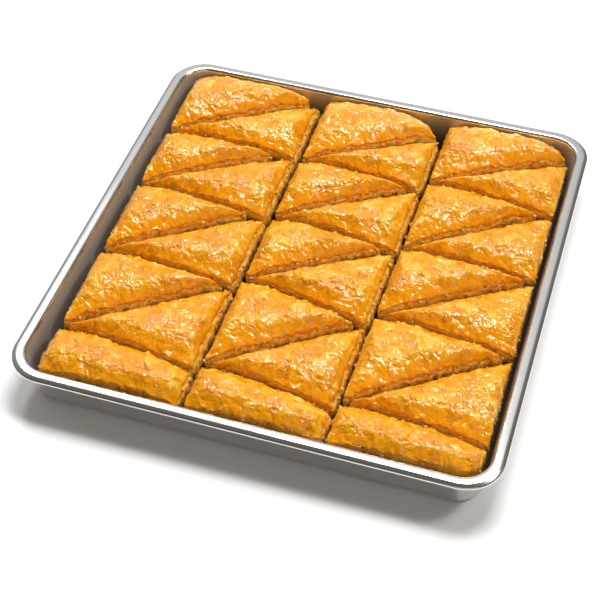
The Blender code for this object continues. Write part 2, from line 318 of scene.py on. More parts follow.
def dome_share(points, corners, insets):
    """0 at a piece's edge and 1 on its crest, which lies nearer to the front edge than to the back."""
    fronts, backs, sides = [], [], [slab_distance(points) + WALL_NEARNESS]
    for index in range(len(insets)):
        start, end = np.array(corners[index]), np.array(corners[(index + 1) % len(corners)])
        facing = (start - end)[0] / np.linalg.norm(end - start)
        group = fronts if facing < -FACING else backs if facing > FACING else sides
        group.append(edge_frame(points, corners, insets, index)[0])
    front = np.maximum(soft_minimum(fronts, DOME_BLEND), 0.0)
    back = np.maximum(soft_minimum(backs, DOME_BLEND), 0.0)
    side = np.maximum(soft_minimum(sides, DOME_BLEND), 0.0)
    width = front + back + SLOPE_STEP
    tent = np.minimum(front / (CREST_PLACE * width), back / ((1 - CREST_PLACE) * width))
    rounded = 1 - (1 - np.minimum(tent, 1)) ** CREST_ROUND
    crest = rounded * np.minimum(width / CREST_WIDTH, 1) ** CREST_TAPER
    end_share = 1 - (1 - np.minimum(side / DOME_REACH, 1)) ** DOME_POWER
    return np.clip(soft_minimum([crest, end_share], CREST_BLEND), 0, 1)


def crust_height(points, corners, insets):
    """Height of the domed, wavy top over plan points, before the fine relief."""
    reach = np.min([np.hypot(*(points - corner).T) for corner in np.array(corners)], axis=0)
    along = 1 - (1 - np.minimum(reach / EDGE_RISE_REACH, 1)) ** 2
    last = edge_frame(points, corners, insets, len(insets) - 1)[0]
    along *= 1 - LOW_EDGE_DROP * (1 - np.clip(last / LOW_EDGE_REACH, 0, 1)) ** 2
    share = dome_share(points, corners, insets)
    waves = WAVE_HEIGHT * noise_at(points, WAVE_LENGTH, WAVE_LAYER)
    folds = FOLD_HEIGHT * noise_at(points, FOLD_LENGTH, FOLD_LAYER)
    relief = (waves + folds) * (RELIEF_AT_EDGE + (1 - RELIEF_AT_EDGE) * share)
    return CORNER_LEVEL + EDGE_RISE * along + DOME_RISE * share + relief


def grid_points(corners, insets):
    """Points of a staggered grid that lie inside the crust's frilled edge."""
    low = np.min(np.array(corners), axis=0)
    high = np.max(np.array(corners), axis=0)
    row_step = CRUST_STEP * math.sqrt(3) / 2
    rows = np.arange(low[1], high[1], row_step)
    columns = np.arange(low[0], high[0], CRUST_STEP)
    grid_x, grid_y = np.meshgrid(columns, rows)
    grid_x[1::2] += CRUST_STEP / 2
    points = np.column_stack((grid_x.ravel(), grid_y.ravel()))
    points = points[inside_distance(points, corners, insets) > -CRIMP_REACH]
    drawn_back = edge_wobble(points) + edge_crimp(points)
    depth = inside_distance(points, corners, insets)
    return points[depth > drawn_back + EDGE_CLEARANCE]


# Fine relief of the crust. Puffs have their length, rise and share at the edge. Torn leaves have
# their length, the noise level above which they lie, their thickness and how much they pale.
WARP_LENGTH = 0.009
WARP_REACH = 0.0032
FINE_WARP_LENGTH = 0.0030
FINE_WARP_REACH = 0.0004
WRINKLE_LENGTH = 0.0055
WRINKLE_WIDTH = 0.26
WRINKLE_HEIGHT = 0.00060
RIPPLE_LENGTH = 0.0042
RIPPLE_WIDTH = 0.30
RIPPLE_HEIGHT = 0.00035
PATCH_LENGTH = 0.013
PATCH_RANGE = (-0.30, 0.35)
PATCH_LEAST = 0.30
WRINKLE_CREST_RANGE = (0.25, 0.80)
WRINKLE_LEAST = 0.20
PLEAT_LENGTH = 0.0058
PLEAT_WIDTH = 0.26
PLEAT_DEPTH = 0.00055
PLEAT_REACH = 0.0095
PLEAT_FULL_REACH = PLEAT_REACH * 0.35
PLEAT_SKEW = 0.45
PLEAT_LAYERS_APART = 0.013
PUFFS = ((0.0072, 0.0015, 0.55), (0.0044, 0.0012, 0.30), (0.0028, 0.0005, 0.25))
PUFF_MEAN = 0.24
LEAVES = ((0.017, 0.10, 0.00042, 0.90), (0.009, 0.16, 0.00036, 0.65), (0.006, 0.20, 0.00030, 0.40))
LEAF_STEP_WIDTH = 0.025
LEAF_SINK = 0.4
EDGE_ROLL = 0.0009
FAR_ROLL = 0.0024
FAR_REACH = 1.6
RIGHT_ROLL = 0.0010
EDGE_ROLL_REACH = 0.0009
EDGE_LIFT = 0.0027
EDGE_LIFT_LENGTH = 0.0052
EDGE_LIFT_REACH = 0.0016
EDGE_LIFT_LEAST = -0.1
EDGE_CRAG = 0.0017
EDGE_CRAG_LENGTH = 0.0028
EDGE_CRAG_REACH = 0.0011
LEAF_LINE_LENGTH = (0.009, 0.009, 0.0011)
LEAF_LINE_HEIGHT = 0.00035
LEAF_LINE_REACH = 0.0030
FACING_RANGE = (0.2, 0.6)
PIT_COUNT = 3
PIT_CANDIDATES = 60
PIT_CLEARANCE = DOME_REACH * 0.45
PIT_RADIUS = (0.0010, 0.0024)
PIT_RAGGEDNESS = 0.35
PIT_RANGE = (0.35, 1.0)
PIT_DEPTH = 0.00085

# Layers of noise, each as a shift from the piece's own layer, so that no two patterns agree.
WARP_LAYERS = (0.02, 0.05)
FINE_WARP_LAYERS = (0.07, 0.09)
PATCH_LAYER = 0.03
RIPPLE_LAYER = 0.01
PUFF_LAYER = 0.10
LEAF_LAYER = 0.06
EDGE_LIFT_LAYER = 0.12
EDGE_CRAG_LAYER = 0.13
BROAD_TONE_LAYER = 0.04
FINE_TONE_LAYER = 0.08
LAYERS_APART = 0.01

# How toasted the crust is, from 0 for pale to 1 for dark: its mean, and what each feature adds.
# On top of toasting, creases between puffs, pleat valleys and lines along leaf edges are darker as
# painted shade, puffs' tops paler as painted light, and front slopes darker, partly syrup and partly
# painted shade. Raised leaf lines are paler and sunk ones darker.
MEAN_TONE = 0.52
BROAD_TONE = 0.26
BROAD_TONE_LENGTH = 0.011
FINE_TONE = 0.22
FINE_TONE_LENGTH = 0.004
PUFF_SHADE_TONE = -0.45
LEAF_LINE_TONE = -0.45
WRINKLE_TONE = 0.06
VALLEY_SHADE_TONE = 0.10
LEAF_TONE = -0.22
LEAF_EDGE_SHADE_TONE = 0.25
PIT_TONE = 0.40
SLOPE_SYRUP_AND_SHADE_TONE = 0.03
CREST_TONE = 0.20


def pleats(points, corners, insets, layer):
    """Narrow valleys that run down the slopes from the crest to each edge."""
    distances, places = [], []
    for index in range(len(insets)):
        distance, place = edge_frame(points, corners, insets, index)
        distances.append(distance)
        places.append(place)
    distances = np.array(distances)
    weights = np.exp((distances.min(axis=0) - distances) / DOME_BLEND)
    weights /= weights.sum(axis=0)
    depth = np.zeros(len(points))
    for index, (weight, distance, place) in enumerate(zip(weights, distances, places)):
        skewed = np.column_stack((place, distance * PLEAT_SKEW))
        lines = noise_at(skewed, PLEAT_LENGTH, layer + PLEAT_LAYERS_APART * index)
        fade = 1 - smooth_share(distance, PLEAT_FULL_REACH, PLEAT_REACH)
        depth += weight * fade * ridge(lines, PLEAT_WIDTH)
    return depth


def piece_pits(corners, insets):
    """Random places and radii of a crust's small holes and blisters."""
    low = np.min(np.array(corners), axis=0)
    high = np.max(np.array(corners), axis=0)
    candidates = low + random.random((PIT_CANDIDATES, 2)) * (high - low)
    inner = candidates[inside_distance(candidates, corners, insets) > PIT_CLEARANCE]
    chosen = inner[:PIT_COUNT]
    return [(place, random.uniform(*PIT_RADIUS)) for place in chosen]


def crust_relief(points, corners, insets, layer, pits):
    """Fine height added to a crust, and how toasted the crust is, for plan points."""
    share = dome_share(points, corners, insets)
    warp = np.column_stack([noise_at(points, WARP_LENGTH, layer + shift) for shift in WARP_LAYERS])
    fine = np.column_stack([noise_at(points, FINE_WARP_LENGTH, layer + shift) for shift in FINE_WARP_LAYERS])
    warped = points + WARP_REACH * warp + FINE_WARP_REACH * fine
    patches = smooth_share(noise_at(points, PATCH_LENGTH, layer + PATCH_LAYER), *PATCH_RANGE)
    patch = PATCH_LEAST + (1 - PATCH_LEAST) * patches
    wrinkle = ridge(noise_at(warped, WRINKLE_LENGTH, layer), WRINKLE_WIDTH)
    ripple = ridge(noise_at(warped, RIPPLE_LENGTH, layer + RIPPLE_LAYER), RIPPLE_WIDTH)
    strength = patch * (WRINKLE_LEAST + (1 - WRINKLE_LEAST) * smooth_share(share, *WRINKLE_CREST_RANGE))
    height = strength * (WRINKLE_HEIGHT * wrinkle + RIPPLE_HEIGHT * ripple)
    swell = np.zeros(len(points))
    for index, (length, rise, at_edge) in enumerate(PUFFS):
        puffs = np.abs(noise_at(warped, length, layer + PUFF_LAYER + LAYERS_APART * index)) - PUFF_MEAN
        rough = at_edge + (1 - at_edge) * share * patch
        height += rise * puffs * rough
        swell += puffs * rough
    valley = pleats(points, corners, insets, layer)
    height -= PLEAT_DEPTH * valley
    leaf = np.zeros(len(points))
    leaf_edge = np.zeros(len(points))
    for index, (length, level, thickness, paling) in enumerate(LEAVES):
        spots = noise_at(warped, length, layer + LEAF_LAYER + LAYERS_APART * index)
        on_top = smooth_share(spots, level, level + LEAF_STEP_WIDTH)
        height += thickness * (on_top - LEAF_SINK)
        leaf += on_top * paling
        leaf_edge += on_top * (1 - on_top) * 4
    pit = np.zeros(len(points))
    for place, radius in pits:
        away = np.hypot(*(points - place).T) / radius
        ragged = away * (1 + PIT_RAGGEDNESS * noise_at(points, PIT_RADIUS[0], layer))
        pit = np.maximum(pit, 1 - smooth_share(ragged, *PIT_RANGE))
    height -= PIT_DEPTH * pit
    depth = np.maximum(inside_distance(points, corners, insets), 0)
    inward = inward_direction(points, corners, insets)
    far = smooth_share(-inward[:, 1], *FACING_RANGE)
    right = smooth_share(-inward[:, 0], *FACING_RANGE)
    roll = EDGE_ROLL + np.maximum(FAR_ROLL * far, RIGHT_ROLL * right)
    height -= roll * np.exp(-depth / (EDGE_ROLL_REACH * (1 + np.maximum(FAR_REACH * far, right))))
    lifts = noise_at(points, EDGE_LIFT_LENGTH, layer + EDGE_LIFT_LAYER)
    height += EDGE_LIFT * np.maximum(lifts, EDGE_LIFT_LEAST) * np.exp(-depth / EDGE_LIFT_REACH)
    crags = noise_at(points, EDGE_CRAG_LENGTH, layer + EDGE_CRAG_LAYER)
    height += EDGE_CRAG * crags * np.exp(-depth / EDGE_CRAG_REACH)
    leaf_lines = noise_at(np.column_stack((points, depth)) / np.array(LEAF_LINE_LENGTH), 1.0, layer)
    leaf_lines *= np.exp(-(depth / LEAF_LINE_REACH) ** 2)
    height += LEAF_LINE_HEIGHT * leaf_lines
    tone = MEAN_TONE + BROAD_TONE * noise_at(points, BROAD_TONE_LENGTH, layer + BROAD_TONE_LAYER)
    tone += FINE_TONE * noise_at(warped, FINE_TONE_LENGTH, layer + FINE_TONE_LAYER)
    # Creases between puffs darker and puffs' tops paler: painted shade and painted light.
    tone += PUFF_SHADE_TONE * swell + LEAF_LINE_TONE * leaf_lines + WRINKLE_TONE * wrinkle * patch
    # Pleat valleys and lines along leaf edges darker: painted shade.
    tone += VALLEY_SHADE_TONE * valley + LEAF_TONE * leaf + LEAF_EDGE_SHADE_TONE * leaf_edge + PIT_TONE * pit
    # Front slopes darker: partly syrup, partly painted shade.
    tone += SLOPE_SYRUP_AND_SHADE_TONE * inward[:, 1] * (1 - share) + CREST_TONE * (share - 0.5)
    return height, tone


# Sides: how far they stand out below the crust's edge, by the kind of cut beside them, the lip of
# the crust, leaves and nut lumps. Each level has its depth below the edge and its share. Between
# two strips they stand out up to 0.6 mm further than in the CAD source.
DIAGONAL_FLARE = 0.0010
CROSS_FLARE = 0.0004
RIGHT_FLARE = 0.0028
LEFT_FLARE = 0.0008
FLARE_LEVELS = ((0.0, 0.0), (0.0010, 0.10), (0.0030, 0.50), (0.0100, 1.0), (0.0400, 1.0))
FLARE_SMOOTHING = 11
WALL_LEAN = ((0.0, 0.0004), (0.010, 0.0010), (0.020, 0.0030), (0.0300, 0.0045))
LIP_THICKNESS = 0.0016
LIP_RANGE = (LIP_THICKNESS * 0.3, LIP_THICKNESS)
LIP_OVERHANG = 0.00010
CRUST_RAG = 0.0024
CRUST_RAG_LENGTH = 0.0040
CRUST_FADE = (0.0002, 0.0017)
RIGHT_RANGE = (0.5, 0.9)
RIGHT_SLOWDOWN = 0.55
WALL_SLOWDOWN = 0.92
# How much the painted shade deep in the cuts eases next to the tray's wall.
WALL_SHADE_EASING = 0.80
SKIRT_FADE = (0.0004, 0.0040)
SKIRT_PLEAT = 0.0008
LAYER_LENGTH = (0.0060, 0.0060, 0.00070)
LAYER_REACH = 0.00065
LUMP_LENGTH = 0.0021
LUMP_REACH = 0.00055
LUMP_TOP = 0.0028
LUMP_RANGE = (LUMP_TOP, LUMP_TOP * 1.6)
NEARNESS_RANGE = (WALL_NEARNESS * 0.5, WALL_NEARNESS)
FLARE_RANGE = (WALL_NEARNESS * 0.5, WALL_NEARNESS * 1.5)
SIDE_LAYER_SCALE = 40
SIDE_TONE = 0.5
LAYER_TONE = 0.8
LUMP_TONE = 0.5


def edge_flare(edge, corners, insets):
    """How far the side below each edge point may stand out into the cut beside it."""
    distances = np.array([edge_frame(edge, corners, insets, index)[0] for index in range(len(insets))])
    nearest = np.argmin(distances, axis=0)
    strip_flare = np.where(inward_direction(edge, corners, insets)[:, 0] < 0, RIGHT_FLARE, LEFT_FLARE)
    kinds = {CROSS_GAP / 2: CROSS_FLARE, DIAGONAL_GAP / 2: DIAGONAL_FLARE}
    flare = np.array([kinds.get(insets[index], strip) for index, strip in zip(nearest, strip_flare)])
    flare *= smooth_share(slab_distance(edge), *FLARE_RANGE)
    window = np.ones(FLARE_SMOOTHING) / FLARE_SMOOTHING
    reach = FLARE_SMOOTHING // 2
    wrapped = np.concatenate((flare[-reach:], flare, flare[:reach]))
    return np.convolve(wrapped, window, "valid")


def side_rows(edge, edge_heights, edge_pleats, corners, insets, layer):
    """Rows of points down a piece's side, each with its heights, depth and colour, from the edge down."""
    inward = inward_direction(edge, corners, insets)
    flare = edge_flare(edge, corners, insets)
    nearness = np.clip(1 - slab_distance(edge) / WALL_NEARNESS, 0, 1)
    fine_depths = np.arange(FINE_SIDE_STEP, FINE_SIDE_DEPTH, FINE_SIDE_STEP)
    medium_depths = np.arange(FINE_SIDE_DEPTH, MEDIUM_SIDE_DEPTH, MEDIUM_SIDE_STEP)
    rows = [(edge_heights - depth, depth) for depth in np.concatenate((fine_depths, medium_depths))]
    for level in LOW_LEVELS + (PASTRY_FLOOR,):
        rows.append((np.full(len(edge), level), CORNER_LEVEL - level))
    made = []
    for heights, depth in rows:
        set_back = nearness * np.interp(depth, *zip(*WALL_LEAN))
        set_back -= flare * np.interp(depth, *zip(*FLARE_LEVELS))
        solid_points = np.column_stack((edge, heights))
        layered = noise_at(solid_points / np.array(LAYER_LENGTH), 1.0, layer * SIDE_LAYER_SCALE)
        lumps = noise_at(solid_points, LUMP_LENGTH, layer * SIDE_LAYER_SCALE)
        lumps *= smooth_share(depth, *LUMP_RANGE)
        lip = smooth_share(depth, *LIP_RANGE)
        at_floor = 0.0 if heights[0] <= PASTRY_FLOOR else 1.0
        recess = SKIRT_PLEAT * edge_pleats * (1 - smooth_share(depth, *SKIRT_FADE))
        recess += lip * LIP_OVERHANG + at_floor * lip * (LAYER_REACH * layered + LUMP_REACH * lumps)
        points = edge + inward * (set_back + recess)[:, None]
        tone = np.clip(SIDE_TONE + LAYER_TONE * layered + LUMP_TONE * lumps, 0, 1)
        made.append((points, heights, depth, tone))
    return made


def set_attribute(mesh, name, values):
    attribute = mesh.attributes.new(name, "FLOAT", "POINT")
    attribute.data.foreach_set("value", np.asarray(values, np.float32))


def mesh_object(name, vertices, faces, material, body="root"):
    mesh = bpy.data.meshes.new(name)
    mesh.from_pydata(np.asarray(vertices).tolist(), [], faces)
    mesh.materials.append(material)
    mesh.shade_smooth()
    item = bpy.data.objects.new(name, mesh)
    bpy.context.scene.collection.objects.link(item)
    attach(item, body)
    return item


def ring_faces(first, second, count):
    """Quads between two rings of points, given where each ring starts."""
    following = [(index + 1) % count for index in range(count)]
    return [(first + index, first + after, second + after, second + index)
            for index, after in enumerate(following)]


# Layer of noise of the first piece and how far apart the pieces' layers are, the toasted line
# along the edge, and how far a slope faces the front, for its amber of syrup and painted shade,
# or lies on the crest to count for its look.
FIRST_LAYER = 1.7
PIECE_LAYERS_APART = 0.37
EDGE_TONE = 0.04
EDGE_TONE_REACH = 0.0011
FRONT_RANGE = (0.05, 0.45)
CREST_RANGE = (0.35, 0.85)


def build_crust(name, corners, insets, number, material):
    """One finely shaped piece of baklava in place of its plain solid."""
    layer = FIRST_LAYER + PIECE_LAYERS_APART * number
    edge = crust_edge(corners, insets)
    plan = np.vstack((edge, grid_points(corners, insets)))
    pits = piece_pits(corners, insets)
    fine_height, tone = crust_relief(plan, corners, insets, layer, pits)
    heights = crust_height(plan, corners, insets) + fine_height
    count = len(edge)
    depth = inside_distance(plan, corners, insets)
    tone += EDGE_TONE * np.exp(-depth / EDGE_TONE_REACH)
    border = [(index, (index + 1) % count) for index in range(count)]
    flat = [Vector(point) for point in plan.tolist()]
    triangles = delaunay_2d_cdt(flat, border, [], 1, SLOPE_STEP / 5)[2]
    vertices = [np.column_stack((plan, heights))]
    tones = [tone]
    sides = [np.zeros(len(plan))]
    shade_depths = [np.zeros(len(plan))]
    faces = [tuple(triangle) for triangle in triangles if max(triangle) < len(plan)]
    above = 0
    start = len(plan)
    edge_pleats = pleats(edge, corners, insets, layer)
    to_right = smooth_share(-inward_direction(edge, corners, insets)[:, 0], *RIGHT_RANGE)
    by_wall = 1 - smooth_share(slab_distance(edge), *NEARNESS_RANGE)
    fade_speed = (1 - RIGHT_SLOWDOWN * to_right) * (1 - WALL_SLOWDOWN * by_wall)
    sides_down = side_rows(edge, heights[:count], edge_pleats, corners, insets, layer)
    for points, levels, depth_down, layered in sides_down:
        vertices.append(np.column_stack((points, levels)))
        ragged = (depth_down + CRUST_RAG * noise_at(points, CRUST_RAG_LENGTH, layer)) * fade_speed
        sides.append(smooth_share(ragged, *CRUST_FADE))
        tones.append(layered * sides[-1] + tone[:count] * (1 - sides[-1]))
        # Depth below the edge, for the painted shade deep in the cuts, eased next to the tray's wall.
        shade_depths.append(depth_down * (1 - WALL_SHADE_EASING * by_wall))
        faces += ring_faces(start, above, count)
        above = start
        start += count
    faces.append(tuple(range(above + count - 1, above - 1, -1)))
    item = mesh_object(f"{name}_crust", np.vstack(vertices), faces, material)
    set_attribute(item.data, "tone", np.concatenate(tones))
    set_attribute(item.data, "side", np.concatenate(sides))
    # The depth attribute carries the painted shade deep in the cuts.
    set_attribute(item.data, "depth", np.concatenate(shade_depths) / MEDIUM_SIDE_DEPTH)
    # Front slopes, which the material turns amber: partly syrup, partly painted shade.
    near = np.zeros(start)
    facing = inward_direction(plan, corners, insets)[:, 1]
    near[:len(plan)] = smooth_share(facing * (1 - dome_share(plan, corners, insets)), *FRONT_RANGE)
    set_attribute(item.data, "near", near)
    crest = np.zeros(start)
    crest[:len(plan)] = smooth_share(dome_share(plan, corners, insets), *CREST_RANGE)
    set_attribute(item.data, "crest", crest)
    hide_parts(name)


def rounded_rectangle(half_width, half_depth, radius, steps):
    """Corner points of a rounded rectangle, counter-clockwise, with points along its straights."""
    arcs = []
    corners = ((1, 1, 0), (-1, 1, 90), (-1, -1, 180), (1, -1, 270))
    for side_x, side_y, start in corners:
        centre_x = side_x * (half_width - radius)
        centre_y = side_y * (half_depth - radius)
        for step in range(steps + 1):
            angle = math.radians(start + 90.0 * step / steps)
            arcs.append((centre_x + radius * math.cos(angle), centre_y + radius * math.sin(angle)))
    points = []
    straights = int(2 * TRAY_HALF_DEPTH / STRAIGHT_STEP)
    for index, point in enumerate(arcs):
        points.append(point)
        if index % (steps + 1) == steps:
            after = arcs[(index + 1) % len(arcs)]
            for step in range(1, straights):
                share = step / straights
                points.append((point[0] + (after[0] - point[0]) * share,
                               point[1] + (after[1] - point[1]) * share))
    return points


def tray_profile():
    """Cross-section of the tray as (inset from the outermost line, height), underside first."""
    outer_foot = WALL_FOOT_INSET - SHEET
    fillet_inset = outer_foot + FOOT_FILLET
    flange_underside = TRAY_HEIGHT - SHEET
    profile = []
    for step in range(FILLET_STEPS + 1):
        angle = math.pi / 2 * step / FILLET_STEPS
        profile.append((fillet_inset - FOOT_FILLET * math.sin(angle), FOOT_FILLET * (1 - math.cos(angle))))
    for sheets, drop in UNDER_SHOULDER:
        profile.append((WALL_TOP_INSET - sheets * SHEET, flange_underside - SHOULDER_DROP * drop))
    profile.append((2 * BEAD_RADIUS + SHEET, flange_underside))
    bead_turn = math.radians(BEAD_TURN)
    bead_middle = TRAY_HEIGHT - RIM_SLOPE + BEAD_RADIUS * math.sin(math.pi - bead_turn)
    for step in range(BEAD_STEPS + 1):
        angle = math.pi - bead_turn * step / BEAD_STEPS
        inset = BEAD_RADIUS - BEAD_RADIUS * math.cos(angle)
        profile.append((inset, bead_middle - BEAD_RADIUS * math.sin(angle)))
    for along, drop in FLANGE_EDGE:
        profile.append((SLOPE_INNER + SLOPE_ROUND * along, TRAY_HEIGHT - SLOPE_ROUND * drop))
    for step in range(SHOULDER_STEPS + 1):
        angle = math.pi / 2 * step / SHOULDER_STEPS
        profile.append((FLANGE_INNER + (WALL_TOP_INSET - FLANGE_INNER) * math.sin(angle),
                        TRAY_HEIGHT - SHOULDER_DROP * (1 - math.cos(angle))))
    inner_fillet = FOOT_FILLET - SHEET
    for step in range(FILLET_STEPS + 1):
        angle = math.pi / 2 * (1 - step / FILLET_STEPS)
        profile.append((fillet_inset - inner_fillet * math.sin(angle),
                        FOOT_FILLET - inner_fillet * math.cos(angle)))
    return profile


def build_tray(material):
    vertices = []
    faces = []
    count = 0
    for level, (inset, height) in enumerate(tray_profile()):
        corner = RIM_CORNER - CORNER_SHRINK * inset
        outline = rounded_rectangle(TRAY_HALF_WIDTH - inset, TRAY_HALF_DEPTH - inset, corner, CORNER_STEPS)
        count = len(outline)
        vertices += [(x, y, height) for x, y in outline]
        if level:
            faces += ring_faces((level - 1) * count, level * count, count)
    faces.append(tuple(range(count - 1, -1, -1)))
    faces.append(tuple(range(len(vertices) - count, len(vertices))))
    item = mesh_object("tray_shell", vertices, faces, material)
    item.data.set_sharp_from_angle(angle=math.radians(TRAY_SHARP_ANGLE))
    levels = tray_profile()
    first_inside = len(levels) - FILLET_STEPS - 2
    inside = [float(level >= first_inside) for level in range(len(levels))]
    # How low each ring inside lies, for the painted shade towards the tray's floor.
    low = [shown * (1 - height / TRAY_HEIGHT) for shown, (inset, height) in zip(inside, levels)]
    set_attribute(item.data, "inside", np.repeat(inside, count))
    set_attribute(item.data, "low", np.repeat(low, count))
    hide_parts("tray")


def new_material(name, colour, roughness, metallic=0.0, coat=0.0, coat_roughness=0.1):
    material = bpy.data.materials.new(name)
    material.use_nodes = True
    material.diffuse_color = (*colour, 1.0)
    shader = material.node_tree.nodes["Principled BSDF"]
    shader.inputs["Base Color"].default_value = (*colour, 1.0)
    shader.inputs["Roughness"].default_value = roughness
    shader.inputs["Metallic"].default_value = metallic
    shader.inputs["Coat Weight"].default_value = coat
    shader.inputs["Coat Roughness"].default_value = coat_roughness
    return material, material.node_tree, shader


def add_node(tree, kind, **settings):
    node = tree.nodes.new(kind)
    for name, value in settings.items():
        setattr(node, name, value)
    return node


# Where most values of a noise texture lie.
NOISE_RANGE = (0.3, 0.7)


def noise_node(tree, length, detail, roughness=0.55, stretch=(1.0, 1.0, 1.0)):
    """Noise texture in the part's own metres, whose features are about one length wide."""
    place = add_node(tree, "ShaderNodeTexCoord")
    mapping = add_node(tree, "ShaderNodeMapping")
    mapping.inputs["Scale"].default_value = [value / length for value in stretch]
    texture = add_node(tree, "ShaderNodeTexNoise")
    texture.inputs["Scale"].default_value = 1.0
    texture.inputs["Detail"].default_value = detail
    texture.inputs["Roughness"].default_value = roughness
    tree.links.new(place.outputs["Object"], mapping.inputs["Vector"])
    tree.links.new(mapping.outputs["Vector"], texture.inputs["Vector"])
    return texture.outputs["Fac"]


def crinkle_node(tree, length, width, distortion):
    """A net of thin winding lines: 1 on the lines and 0 between them."""
    place = add_node(tree, "ShaderNodeTexCoord")
    texture = add_node(tree, "ShaderNodeTexNoise")
    texture.inputs["Scale"].default_value = 1.0 / length
    texture.inputs["Detail"].default_value = 0.6
    texture.inputs["Distortion"].default_value = distortion
    tree.links.new(place.outputs["Object"], texture.inputs["Vector"])
    centred = math_node(tree, "SUBTRACT", texture.outputs["Fac"], 0.5)
    away = math_node(tree, "ABSOLUTE", centred, 0.0)
    return spread(tree, away, 0.0, width, 1.0, 0.0, "SMOOTHSTEP")


def math_node(tree, operation, first, second, clamp=False):
    node = add_node(tree, "ShaderNodeMath", operation=operation, use_clamp=clamp)
    for socket, value in zip(node.inputs, (first, second)):
        if isinstance(value, (int, float)):
            socket.default_value = value
        else:
            tree.links.new(value, socket)
    return node.outputs[0]


def spread(tree, value, low, high, to_low, to_high, passage="LINEAR"):
    node = add_node(tree, "ShaderNodeMapRange", clamp=True, interpolation_type=passage)
    tree.links.new(value, node.inputs["Value"])
    node.inputs["From Min"].default_value = low
    node.inputs["From Max"].default_value = high
    node.inputs["To Min"].default_value = to_low
    node.inputs["To Max"].default_value = to_high
    return node.outputs["Result"]


def attribute_node(tree, name):
    return add_node(tree, "ShaderNodeAttribute", attribute_name=name).outputs["Fac"]


def colour_ramp(tree, value, stops):
    node = add_node(tree, "ShaderNodeValToRGB")
    ramp = node.color_ramp
    while len(ramp.elements) < len(stops):
        ramp.elements.new(0.5)
    for element, (place, colour) in zip(ramp.elements, stops):
        element.position = place
        element.color = (*colour, 1.0)
    tree.links.new(value, node.inputs["Fac"])
    return node.outputs["Color"]


def mix_colours(tree, share, first, second, blend="MIX"):
    node = add_node(tree, "ShaderNodeMix", data_type="RGBA", blend_type=blend)
    for socket, value in ((node.inputs[0], share), (node.inputs[6], first), (node.inputs[7], second)):
        if isinstance(value, bpy.types.NodeSocket):
            tree.links.new(value, socket)
        elif isinstance(value, (int, float)):
            socket.default_value = value
        else:
            socket.default_value = (*value, 1.0)
    return node.outputs[2]


def bump_node(tree, height, distance, strength):
    node = add_node(tree, "ShaderNodeBump")
    node.inputs["Distance"].default_value = distance
    node.inputs["Strength"].default_value = strength
    tree.links.new(height, node.inputs["Height"])
    return node.outputs["Normal"]


# Colours of the crust from pale to toasted, of its amber front slopes, partly syrup and partly
# painted shade, of the leaves in its cut sides, and the painted shade deep in the cuts.
CRUST_STOPS = (
    (0.00, (0.79, 0.48, 0.085)),
    (0.25, (0.78, 0.372, 0.012)),
    (0.50, (0.75, 0.292, 0.002)),
    (0.75, (0.68, 0.238, 0.001)),
    (1.00, (0.52, 0.170, 0.001)),
)
AMBER = (0.82, 0.290, 0.001)
LEAF_STOPS = (
    (0.00, (0.52, 0.21, 0.012)),
    (0.35, (0.84, 0.42, 0.045)),
    (0.60, (0.94, 0.58, 0.12)),
    (1.00, (0.96, 0.72, 0.26)),
)
DEEP_SHADE_COLOUR = (0.018, 0.009, 0.003)
DEEP_SHADE_RANGE = (0.30, 0.80)
AMBER_TONES = (0.20, 0.85)
AMBER_SHARES = (0.92, 0.15)

# Gloss of the syrup, and what varies the crust in its material. Blisters are nets of lines with
# their length, width and winding.
CRUST_COLOUR = (0.80, 0.30, 0.01)
SYRUP_COAT = 0.42
SYRUP_COAT_ROUGHNESS = 0.02
SYRUP_COAT_IOR = 1.6
SYRUP_SPECULAR = 0.42
SYRUP_TINT = (1.0, 0.88, 0.72, 1.0)
CRUST_ROUGHNESS = 0.03
DULL_ROUGHNESS = 0.04
DULL_RANGE = (0.40, 0.60)
SIDE_ROUGHNESS = 0.40
BLOTCH_LENGTH = 0.0022
BLOTCH_TONES = (-0.14, 0.12)
SPECKLE_LENGTH = 0.0007
SPECKLE_RANGE = (0.58, 0.72)
SPECKLE_TONE = 0.14
BLISTERS = (0.0056, 0.20, 1.3)
BLISTER_ON_SLOPES = 0.34
SMALL_BLISTERS = (0.0030, 0.20, 0.8)
SMALL_BLISTER_WEIGHT = 0.20
BLISTER_HEIGHT = 0.00028


